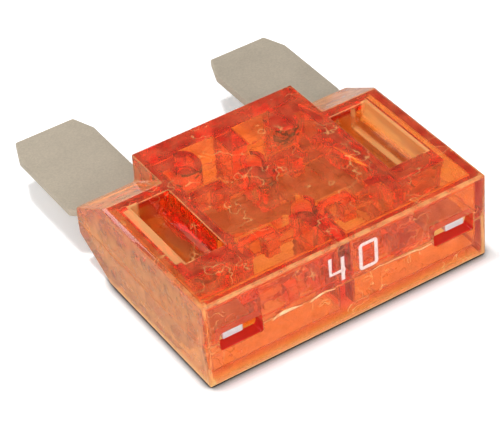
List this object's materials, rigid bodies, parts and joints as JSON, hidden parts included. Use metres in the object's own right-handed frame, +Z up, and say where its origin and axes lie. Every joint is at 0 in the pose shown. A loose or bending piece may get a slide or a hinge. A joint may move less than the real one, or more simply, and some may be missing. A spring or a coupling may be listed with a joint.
{
  "type": "blade fuse",
  "caption": "See-through orange plug-in blade fuse for vehicle circuits: moulded housing halves closed over a stamped metal strip with flat blades.",
  "frame": {"origin": "centre of the bounding box on the resting face", "axes": "+X across the blades, +Y from the test end to the blade tips, +Z up through the thickness"},
  "size_m": [0.0292, 0.0342, 0.0089],
  "materials": {
    "housing": "clear tinted moulded plastic, glossy",
    "blade_metal": "satin stamped zinc alloy",
    "rating_ink": "thin printed ink"
  },
  "bodies": {
    "root": {"upper_shell": "housing", "lower_shell": "housing", "fuse_element": "blade_metal"}
  },
  "joints": []
}
